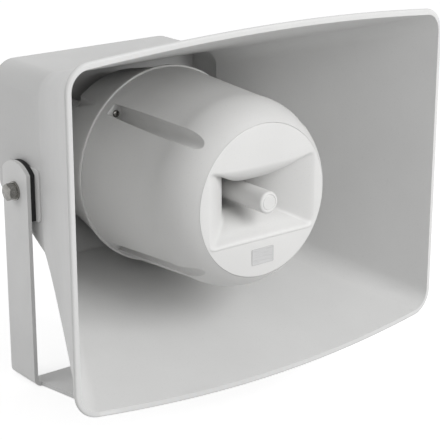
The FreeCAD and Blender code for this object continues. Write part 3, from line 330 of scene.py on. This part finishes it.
def sintered(name, colour):
    """Grainy pressed ceramic."""
    finish = Finish(name, roughness=0.6)
    finish.colour(finish.tints(finish.noise(600.0), colour, low=0.7, high=1.5))
    finish.roughness(finish.between(finish.noise(300.0), low=0.5, high=0.75))
    finish.bump(finish.noise(900.0, detail=4.0), strength=0.4, distance=0.0001)
    return finish.material


def pulp(name, colour):
    """Pressed paper pulp: matted short fibres."""
    finish = Finish(name, roughness=0.85, specular=0.2)
    fibres = finish.noise(380.0, detail=6.0, roughness=0.7)
    finish.colour(finish.tints(fibres, colour, low=0.6, high=1.6))
    finish.bump(fibres, strength=0.5, distance=0.0003)
    return finish.material


def wound(name, colour, pitch):
    """Turns of enamelled wire side by side."""
    finish = Finish(name, roughness=0.35, metallic=0.6)
    turns = finish.waves(pitch, "Y")
    finish.colour(finish.tints(turns, colour, low=0.55, high=1.0, start=0.1, end=0.6))
    finish.roughness(finish.between(finish.noise(200.0), low=0.28, high=0.45))
    finish.bump(turns, strength=0.6, distance=0.0004)
    return finish.material


def laminated(name, colour):
    """A stack of thin varnished sheets seen on edge."""
    finish = Finish(name, roughness=0.45, metallic=0.9)
    sheets = finish.waves(320.0, "Z")
    finish.colour(finish.tints(sheets, colour, low=0.5, high=1.0, start=0.15, end=0.5))
    finish.roughness(finish.between(finish.noise(150.0), low=0.4, high=0.6))
    finish.bump(sheets, strength=0.5, distance=0.0002)
    return finish.material


def solder_mask(name, colour):
    """Green board with faint copper runs under its mask."""
    finish = Finish(name, roughness=0.3)
    runs = finish.between(finish.waves(60.0, "Z", distortion=6.0), low=0.0, high=1.0, start=0.48, end=0.55)
    finish.colour(finish.tints(runs, colour, low=1.0, high=1.7, start=0.0, end=1.0))
    finish.roughness(finish.between(finish.noise(250.0), low=0.25, high=0.4))
    finish.bump(runs, strength=0.3, distance=0.00004)
    return finish.material


def moulded_small(name, colour, roughness=0.45):
    """Small coloured moulding with a faint grain."""
    finish = Finish(name, roughness)
    finish.colour(finish.tints(finish.noise(120.0), colour, low=0.88, high=1.08))
    finish.roughness(finish.between(finish.noise(240.0), roughness - 0.07, roughness + 0.1))
    finish.bump(finish.cells(1500.0), strength=0.25, distance=0.00005)
    return finish.material


HORN_GREY = (0.655, 0.655, 0.65)
BARREL_GREY = (0.67, 0.668, 0.66)
FINISHES = {
    "horn_plastic": moulded_plastic("horn_plastic", HORN_GREY, roughness=0.46, grain=900.0),
    "barrel_plastic": moulded_plastic("barrel_plastic", BARREL_GREY, roughness=0.42, grain=1100.0),
    "bracket_paint": powder_coat("bracket_paint", (0.77, 0.77, 0.765)),
    "steel": turned_metal("steel", (0.29, 0.285, 0.27), roughness=0.2),
    "brass": turned_metal("brass", (0.72, 0.55, 0.26), roughness=0.3),
    "black_rubber": rubber("black_rubber", (0.016, 0.016, 0.017)),
    "cover_plastic": moulded_plastic("cover_plastic", HORN_GREY, roughness=0.48, grain=900.0),
    "gland_plastic": moulded_small("gland_plastic", (0.42, 0.42, 0.42)),
    "black_metal": painted_black("black_metal", (0.022, 0.022, 0.024)),
    "ferrite": sintered("ferrite", (0.045, 0.045, 0.05)),
    "cone_paper": pulp("cone_paper", (0.035, 0.034, 0.033)),
    "coil_former": moulded_small("coil_former", (0.30, 0.16, 0.06)),
    "laminations": laminated("laminations", (0.22, 0.22, 0.23)),
    "winding": wound("winding", (0.62, 0.30, 0.12), pitch=260.0),
    "board": solder_mask("board", (0.03, 0.14, 0.055)),
    "capacitor": moulded_small("capacitor", (0.45, 0.035, 0.03), roughness=0.35),
    "terminal": moulded_small("terminal", (0.03, 0.06, 0.17)),
}
PLATE_FINISH = brushed_foil("plate_foil", (0.52, 0.52, 0.52))


def smooth(thing):
    """Smooth shading where the surface is curved, with sharp edges at the folds."""
    thing.data.polygons.foreach_set("use_smooth", [True] * len(thing.data.polygons))
    split = thing.modifiers.new("edges", "EDGE_SPLIT")
    split.split_angle = math.radians(EDGE_ANGLE)


def dress_parts():
    """Gives every carried-over piece its finish."""
    for row in frame["record"]["subparts"]:
        part = parts[row["node"]]
        part.data.materials.clear()
        part.data.materials.append(FINISHES[row["material_slot"]])
        weld = part.modifiers.new("weld", "WELD")
        weld.merge_threshold = WELD_DISTANCE
        smooth(part)


# Helpers for new pieces
def add_piece(name, mesh, finish):
    data = bpy.data.meshes.new(name)
    mesh.to_mesh(data)
    mesh.free()
    data.materials.append(finish)
    piece = bpy.data.objects.new(name, data)
    scene.collection.objects.link(piece)
    return piece


def stand_for(name, mesh, node, slot):
    """Adds a finer piece that stands for a node on the horn."""
    piece = add_piece(name, mesh, FINISHES[slot])
    smooth(piece)
    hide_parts(node)
    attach(piece, "horn")


def on_axis(low, high, y):
    """Point at y on the line along y through the middle of a box."""
    return Vector(((low[0] + high[0]) / 2, y, (low[2] + high[2]) / 2))


def quarter_turn(steps):
    """Angles in radians from nought to a right angle, in equal steps."""
    return [math.pi / 2 * step / steps for step in range(steps + 1)]


def solids_in(node):
    """Lowest and highest corner of each separate solid in a node, in a fixed order."""
    mesh = bmesh.new()
    mesh.from_mesh(parts[node].data)
    bmesh.ops.remove_doubles(mesh, verts=mesh.verts, dist=WELD_DISTANCE)
    waiting = set(mesh.verts)
    boxes = []
    while waiting:
        found = [waiting.pop()]
        for vertex in found:
            near = {edge.other_vert(vertex) for edge in vertex.link_edges} & waiting
            waiting -= near
            found.extend(near)
        low = [min(vertex.co[axis] for vertex in found) for axis in range(3)]
        high = [max(vertex.co[axis] for vertex in found) for axis in range(3)]
        boxes.append((low, high))
    mesh.free()
    return sorted(boxes)


def turned_mesh(profile):
    """Closed solid turned about z from points of radius and height, first and last on the axis."""
    mesh = bmesh.new()
    points = [mesh.verts.new((radius, 0, height)) for radius, height in profile]
    edges = [mesh.edges.new(pair) for pair in zip(points, points[1:])]
    bmesh.ops.spin(mesh, geom=points + edges, cent=(0, 0, 0), axis=(0, 0, 1), angle=math.tau,
                   steps=TURN_STEPS, use_merge=True)
    bmesh.ops.remove_doubles(mesh, verts=mesh.verts, dist=WELD_DISTANCE)
    bmesh.ops.recalc_face_normals(mesh, faces=mesh.faces)
    return mesh


def lofted_mesh(sections, ringed=False):
    """Closed solid through sections of as many points each: a ring of them, or a row with closed ends."""
    mesh = bmesh.new()
    loops = [[mesh.verts.new(point) for point in section] for section in sections]
    following_loops = loops[1:] + loops[:1] if ringed else loops[1:]
    for loop, following in zip(loops, following_loops):
        for index in range(len(loop)):
            mesh.faces.new((loop[index - 1], loop[index], following[index], following[index - 1]))
    if not ringed:
        mesh.faces.new(loops[0])
        mesh.faces.new(loops[-1])
    bmesh.ops.recalc_face_normals(mesh, faces=mesh.faces)
    return mesh


def rounded_outline(half_width, half_height, corner):
    """Points round a rounded rectangle, the same number on each side whatever its size."""
    arcs = []
    for quarter, (across, up) in enumerate(((1, 1), (-1, 1), (-1, -1), (1, -1))):
        turns = [quarter * math.pi / 2 + turn for turn in quarter_turn(CORNER_STEPS)]
        centre = Vector((across * (half_width - corner), up * (half_height - corner)))
        arcs.append([centre + corner * Vector((math.cos(turn), math.sin(turn))) for turn in turns])
    points = []
    for arc, following, steps in zip(arcs, arcs[1:] + arcs[:1], SIDE_STEPS):
        points += arc
        points += [arc[-1].lerp(following[0], step / steps) for step in range(1, steps)]
    return points


# Screws with a cross recess
def cross_outline(reach, half_width):
    """Points round a plus sign."""
    arm = (Vector((reach, -half_width)), Vector((reach, half_width)), Vector((half_width, half_width)))
    return [Matrix.Rotation(math.tau * quarter / 4, 2) @ point for quarter in range(4) for point in arm]


def cross_cutter(head_r, head_height):
    """Cross-shaped wedge that narrows towards the bottom of a cross recess."""
    reach = head_r * RECESS_REACH
    half_width = head_r * RECESS_WIDTH / 2
    floor = cross_outline(reach * RECESS_TAPER, half_width)
    top = cross_outline(reach, half_width)
    floor_height = head_height * (1 - RECESS_DEPTH)
    top_height = head_height * CUTTER_HEIGHT
    return lofted_mesh([[(x, y, floor_height) for x, y in floor], [(x, y, top_height) for x, y in top]])


def cut_out(mesh, cutter):
    """A mesh with another one cut out of it."""
    body = add_piece("cut_body", mesh, FINISHES["steel"])
    tool = add_piece("cut_tool", cutter, FINISHES["steel"])
    boolean = body.modifiers.new("cut", "BOOLEAN")
    boolean.object = tool
    boolean.operation = "DIFFERENCE"
    boolean.solver = "EXACT"
    shown = body.evaluated_get(bpy.context.evaluated_depsgraph_get())
    result = bmesh.new()
    result.from_mesh(shown.to_mesh())
    shown.to_mesh_clear()
    for thing in (body, tool):
        bpy.data.meshes.remove(thing.data)
    bmesh.ops.remove_doubles(result, verts=result.verts, dist=WELD_DISTANCE)
    bmesh.ops.dissolve_degenerate(result, dist=WELD_DISTANCE, edges=result.edges)
    return result


def screw_mesh(shank_r, shank_length, head_r, head_height):
    """Pan-head screw with its head standing on z = 0 and a cross recess in it."""
    rim = head_height * HEAD_RIM_SHARE
    dome = [
        (head_r * math.cos(turn), rim + (head_height - rim) * math.sin(turn))
        for turn in quarter_turn(ROUND_STEPS)[:-1]
    ]
    shank = [
        (0, -shank_length),
        (shank_r * SHANK_TIP_SHARE, -shank_length),
        (shank_r, shank_r - shank_length),
        (shank_r, 0),
    ]
    profile = [*shank, (head_r, 0), *dome, (0, head_height)]
    return cut_out(turned_mesh(profile), cross_cutter(head_r, head_height))


def make_screws(name, node, head_forward):
    """Screws with a cross recess in place of a node's plain ones; each lies along y."""
    joined = bmesh.new()
    for index, (low, high) in enumerate(solids_in(node)):
        head_r = (high[0] - low[0]) / 2
        head_height = head_r * HEAD_HEIGHT_SHARE
        length = high[1] - low[1] - head_height
        single = screw_mesh(head_r * SHANK_SHARE, length, head_r, head_height)
        seat_y = low[1] + head_height if head_forward else high[1] - head_height
        place = Matrix.Translation(on_axis(low, high, seat_y))
        stand = Matrix.Rotation(math.radians(90 if head_forward else -90), 4, "X")
        spin = Matrix.Rotation(math.radians(SCREW_TURN * (index + 1)), 4, "Z")
        single.transform(place @ stand @ spin)
        data = bpy.data.meshes.new("screw")
        single.to_mesh(data)
        single.free()
        joined.from_mesh(data)
        bpy.data.meshes.remove(data)
    stand_for(name, joined, node, "steel")


# Tweeter's face and flare, with x across, y from the face inwards and z up from the middle
def flare_ring(share, flare_depth, wall=0.0):
    """Section of the flare from the throat at share 0 to the face at share 1."""

    def grown(mouth, power):
        return THROAT_HALF + (mouth - THROAT_HALF) * share ** power + wall

    half_width = grown(MOUTH_HALF_WIDTH, SIDE_POWER)
    ends = grown(MOUTH_HALF_HEIGHT, END_POWER)
    brow = grown(MOUTH_HALF_HEIGHT - BROW_SAG, BROW_POWER)
    sill_ends = grown(MOUTH_HALF_HEIGHT, SILL_END_POWER)
    sill = grown(MOUTH_HALF_HEIGHT, SILL_POWER)
    corner = THROAT_CORNER + (MOUTH_CORNER - THROAT_CORNER) * share + wall
    ring = []
    for x, z in rounded_outline(half_width, ends, corner):
        middle = 1 - abs(x / half_width) ** SAG_POWER
        side, centre = (ends, brow) if z > 0 else (sill_ends, sill)
        height = side + (centre - side) * middle
        ring.append(Vector((x, flare_depth * (1 - share), z * height / ends)))
    return ring


def face_ring():
    """Line on the face where the rounding of the flare's mouth starts."""
    outline = rounded_outline(
        MOUTH_HALF_WIDTH + LIP_ROUND, MOUTH_HALF_HEIGHT + LIP_ROUND, MOUTH_CORNER + LIP_ROUND)
    ring = []
    for x, z in outline:
        middle = max(0.0, 1 - abs(x / MOUTH_HALF_WIDTH) ** SAG_POWER) if z > 0 else 0.0
        ring.append(Vector((x, 0, z + (BROW_EASE - BROW_SAG) * middle * z / MOUTH_HALF_HEIGHT)))
    return ring


def lip_rings(flare_depth):
    """Sections that round the flare's mouth over onto the face, with a bead along the sill."""
    face = face_ring()
    mouth = flare_ring(1.0, flare_depth)
    inner = flare_ring(1 - LIP_DEPTH / flare_depth, flare_depth)
    rings = []
    for step in range(LIP_STEPS + 1):
        along = step / LIP_STEPS
        ring = []
        for first, corner, last in zip(face, mouth, inner):
            point = first.lerp(corner, along).lerp(corner.lerp(last, along), along)
            low = max(0.0, -corner.z / MOUTH_HALF_HEIGHT) ** SILL_FALL
            point.y -= SILL_PROUD * low * math.sin(math.pi * along)
            ring.append(point)
        rings.append(ring)
    return rings


def tweeter_rings(face_r, flare_depth):
    """Sections all the way round the tweeter's wall: face, lip, flare, flange and the flare's back."""
    turns = [math.atan2(point.z, point.x) for point in flare_ring(1.0, flare_depth)]

    def circle(radius, depth):
        return [Vector((radius * math.cos(turn), depth, radius * math.sin(turn))) for turn in turns]

    back = FACE_PROUD + FACE_THICKNESS
    rings = [circle(face_r, back)]
    for turn in quarter_turn(FACE_EDGE_STEPS):
        rings.append(circle(face_r - FACE_EDGE * (1 - math.cos(turn)), FACE_EDGE * (1 - math.sin(turn))))
    rings += lip_rings(flare_depth)
    lip_end = 1 - LIP_DEPTH / flare_depth
    for step in range(1, FLARE_STEPS + 1):
        rings.append(flare_ring(lip_end * (1 - step / FLARE_STEPS), flare_depth))
    rings += [circle(FLANGE_R, flare_depth), circle(FLANGE_R, flare_depth - FLANGE_THICKNESS)]
    first = FLANGE_THICKNESS / flare_depth
    last = 1 - back / flare_depth
    for step in range(FLARE_STEPS + 1):
        rings.append(flare_ring(first + (last - first) * step / FLARE_STEPS, flare_depth, FLARE_WALL))
    return rings


def make_tweeter():
    """Face disc and flare in one moulding, with a bridge across the throat that holds the plug."""
    low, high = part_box("tweeter_horn")
    flare_depth = high[1] - low[1] + FACE_PROUD
    mesh = lofted_mesh(tweeter_rings((high[0] - low[0]) / 2, flare_depth), ringed=True)
    bridge = bmesh.ops.create_cube(mesh, size=1.0)["verts"]
    bmesh.ops.scale(mesh, vec=(2 * THROAT_HALF + FLARE_WALL, BRIDGE_DEPTH, BRIDGE_THICKNESS), verts=bridge)
    bmesh.ops.translate(mesh, vec=(0, flare_depth - BRIDGE_DEPTH / 2, 0), verts=bridge)
    bmesh.ops.translate(mesh, vec=on_axis(low, high, low[1] - FACE_PROUD), verts=mesh.verts)
    stand_for("tweeter_horn_lipped", mesh, "tweeter_horn", "barrel_plastic")


def make_plug():
    """Turned plug with a rounded end, which points forwards."""
    low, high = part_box("phase_plug")
    radius = (high[0] - low[0]) / 2
    length = high[1] - low[1]
    foot = [(0, 0), (PLUG_FOOT_R, 0), (radius, PLUG_TAPER)]
    round_end = [
        (radius - PLUG_ROUND * (1 - math.cos(turn)), length - PLUG_ROUND * (1 - math.sin(turn)))
        for turn in quarter_turn(ROUND_STEPS)
    ]
    ring = [
        (PLUG_RING_R, length),
        (PLUG_RING_R - PLUG_RING_WIDTH / 2, length - PLUG_RING_DEPTH),
        (PLUG_RING_R - PLUG_RING_WIDTH, length),
    ]
    mesh = turned_mesh([*foot, *round_end, *ring, (0, length)])
    forwards = Matrix.Rotation(math.radians(90), 4, "X")
    mesh.transform(Matrix.Translation(on_axis(low, high, high[1])) @ forwards)
    stand_for("phase_plug_turned", mesh, "phase_plug", "barrel_plastic")


# Woofer's flexing rings
def sector_mesh(profile, start, end):
    """Closed sector of a ring about the y axis, from a loop of points of radius and y."""
    sections = []
    for step in range(FLEX_STEPS + 1):
        turn = start + (end - start) * step / FLEX_STEPS
        sections.append([(r * math.cos(turn), y, r * math.sin(turn)) for r, y in profile])
    return lofted_mesh(sections)


def make_flexing(name, node, slot, profile):
    """Ring in sectors between the cone, at its inner radius, and the frame, at its outer one."""
    low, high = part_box(node)
    axis = on_axis(low, high, 0)
    half = math.pi / FLEX_SECTORS
    for index in range(FLEX_SECTORS):
        middle = 2 * half * index
        mesh = sector_mesh(profile, middle - half, middle + half)
        bmesh.ops.translate(mesh, vec=axis, verts=mesh.verts)
        piece = add_piece("%s_%02d" % (name, index + 1), mesh, FINISHES[slot])
        smooth(piece)
        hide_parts(node)
        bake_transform(piece)


def make_spider():
    """Corrugated cloth disc round the voice coil."""
    low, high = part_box("spider")
    outer_r = (high[0] - low[0]) / 2
    level = (low[1] + high[1]) / 2
    upper = []
    lower = []
    for step in range(SPIDER_STEPS + 1):
        share = step / SPIDER_STEPS
        radius = SPIDER_HOLE_R + (outer_r - SPIDER_HOLE_R) * share
        y = level + SPIDER_WAVE * math.sin(math.tau * SPIDER_WAVES * share)
        upper.append((radius, y + SPIDER_THICKNESS / 2))
        lower.append((radius, y - SPIDER_THICKNESS / 2))
    make_flexing("spider_flex", "spider", "coil_former", upper + lower[::-1])


def make_surround():
    """Half-roll of rubber between the cone and the frame, with a flange glued to the frame."""
    low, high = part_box("surround")
    rim_r = (high[0] - low[0]) / 2
    base, top = low[1], high[1]
    inner_r, outer_r, thick = SURROUND_INNER_R, SURROUND_OUTER_R, SURROUND_THICKNESS
    middle = (inner_r + outer_r) / 2
    half = (outer_r - inner_r) / 2
    turns = [math.pi * step / SURROUND_STEPS for step in range(SURROUND_STEPS + 1)]
    under = [
        (middle + (half - thick) * math.cos(turn), base + (top - thick - base) * math.sin(turn))
        for turn in turns
    ]
    over = [(middle - half * math.cos(turn), base + (top - base) * math.sin(turn)) for turn in turns[:-1]]
    flange = [(outer_r, base + thick), (rim_r, base + thick), (rim_r, base)]
    make_flexing("surround_flex", "surround", "black_rubber", under + over + flange)


def make_plate():
    """Plain blank plate on the face disc, with a raised border."""
    low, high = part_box("tweeter_horn")
    centre = on_axis(low, high, low[1] - FACE_PROUD + PLATE_SUNK) - Vector((0, 0, PLATE_BELOW_CENTRE))
    mesh = bmesh.new()
    corners = rounded_outline(PLATE_WIDTH / 2, PLATE_HEIGHT / 2, PLATE_CORNER)
    outline = [mesh.verts.new(centre + Vector((x, 0, z))) for x, z in corners]
    back = mesh.faces.new(outline)
    front = bmesh.ops.extrude_face_region(mesh, geom=[back])["geom"]
    moved = [item for item in front if isinstance(item, bmesh.types.BMVert)]
    bmesh.ops.translate(mesh, verts=moved, vec=(0, -PLATE_THICKNESS - PLATE_SUNK, 0))
    cap = [item for item in front if isinstance(item, bmesh.types.BMFace)]
    bmesh.ops.inset_region(mesh, faces=cap, thickness=PLATE_BORDER, depth=0)
    bmesh.ops.inset_region(mesh, faces=cap, thickness=PLATE_SUNK, depth=-PLATE_SUNK)
    bmesh.ops.recalc_face_normals(mesh, faces=mesh.faces)
    piece = add_piece("face_plate", mesh, PLATE_FINISH)
    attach(piece, "horn")


dress_parts()
make_screws("barrel_cross_screws", "barrel_screws", head_forward=True)
make_screws("cover_cross_screws", "cover_screws", head_forward=False)
make_tweeter()
make_plug()
make_spider()
make_surround()
make_plate()


# Stage
def shown_rays(tree):
    """One for rays from the camera, a mirror or a glass, nought for the rays that carry light."""
    rays = tree.nodes.new("ShaderNodeLightPath")
    whole = rays.outputs["Is Camera Ray"]
    for kind in ("Is Glossy Ray", "Is Transmission Ray"):
        either = tree.nodes.new("ShaderNodeMath")
        either.operation = "MAXIMUM"
        tree.links.new(whole, either.inputs[0])
        tree.links.new(rays.outputs[kind], either.inputs[1])
        whole = either.outputs["Value"]
    return whole


def floor_material():
    """Pale floor that shows white and keeps the object's shadow."""
    material = bpy.data.materials.new("floor_white")
    material.use_nodes = True
    tree = material.node_tree
    tree.nodes.clear()
    out = tree.nodes.new("ShaderNodeOutputMaterial")
    paint = tree.nodes.new("ShaderNodeBsdfDiffuse")
    paint.inputs["Color"].default_value = (FLOOR_COLOUR, FLOOR_COLOUR, FLOOR_COLOUR, 1)
    glow = tree.nodes.new("ShaderNodeEmission")
    strength = tree.nodes.new("ShaderNodeMath")
    strength.operation = "MULTIPLY"
    strength.inputs[1].default_value = FLOOR_GLOW
    tree.links.new(shown_rays(tree), strength.inputs[0])
    tree.links.new(strength.outputs["Value"], glow.inputs["Strength"])
    both = tree.nodes.new("ShaderNodeAddShader")
    tree.links.new(paint.outputs["BSDF"], both.inputs[0])
    tree.links.new(glow.outputs["Emission"], both.inputs[1])
    tree.links.new(both.outputs["Shader"], out.inputs["Surface"])
    return material


def make_floor():
    mesh = bpy.data.meshes.new("floor")
    half = FLOOR_SIZE / 2
    corners = [(-half, -half, 0), (half, -half, 0), (half, half, 0), (-half, half, 0)]
    mesh.from_pydata(corners, [], [(0, 1, 2, 3)])
    mesh.materials.append(floor_material())
    floor = bpy.data.objects.new("floor", mesh)
    floor.location.z = -FLOOR_DROP
    scene.collection.objects.link(floor)


def make_world():
    """Even light from all round, behind which the camera sees white."""
    world = bpy.data.worlds.new("studio")
    scene.world = world
    world.use_nodes = True
    tree = world.node_tree
    tree.nodes.clear()
    out = tree.nodes.new("ShaderNodeOutputWorld")
    mix = tree.nodes.new("ShaderNodeMixShader")
    tree.links.new(shown_rays(tree), mix.inputs["Fac"])
    for socket, strength in ((1, WORLD_LIGHT), (2, WORLD_SHOWN)):
        sky = tree.nodes.new("ShaderNodeBackground")
        sky.inputs["Color"].default_value = (1, 1, 1, 1)
        sky.inputs["Strength"].default_value = strength
        tree.links.new(sky.outputs["Background"], mix.inputs[socket])
    tree.links.new(mix.outputs["Shader"], out.inputs["Surface"])


def softbox(name, place, size, power):
    """Round soft lamp that faces the camera's target."""
    lamp = bpy.data.lights.new(name, "AREA")
    lamp.shape = "DISK"
    lamp.size = size
    lamp.energy = power
    thing = bpy.data.objects.new(name, lamp)
    thing.location = place
    thing.rotation_euler = (TARGET - Vector(place)).to_track_quat("-Z", "Y").to_euler()
    scene.collection.objects.link(thing)


def make_camera():
    camera = bpy.data.objects.new("camera", bpy.data.cameras.new("camera"))
    camera.data.lens = CAMERA_LENS
    camera.data.sensor_width = SENSOR
    azimuth = math.radians(CAMERA_AZIMUTH)
    elevation = math.radians(CAMERA_ELEVATION)
    level = math.cos(elevation)
    back = Vector((math.sin(azimuth) * level, -math.cos(azimuth) * level, math.sin(elevation)))
    camera.location = TARGET + back * CAMERA_DISTANCE
    camera.rotation_euler = (-back).to_track_quat("-Z", "Y").to_euler()
    scene.collection.objects.link(camera)
    scene.camera = camera


make_floor()
make_world()
softbox("key", KEY_PLACE, KEY_SIZE, KEY_POWER)
softbox("fill", FILL_PLACE, FILL_SIZE, FILL_POWER)
make_camera()
scene.view_settings.view_transform = "Standard"
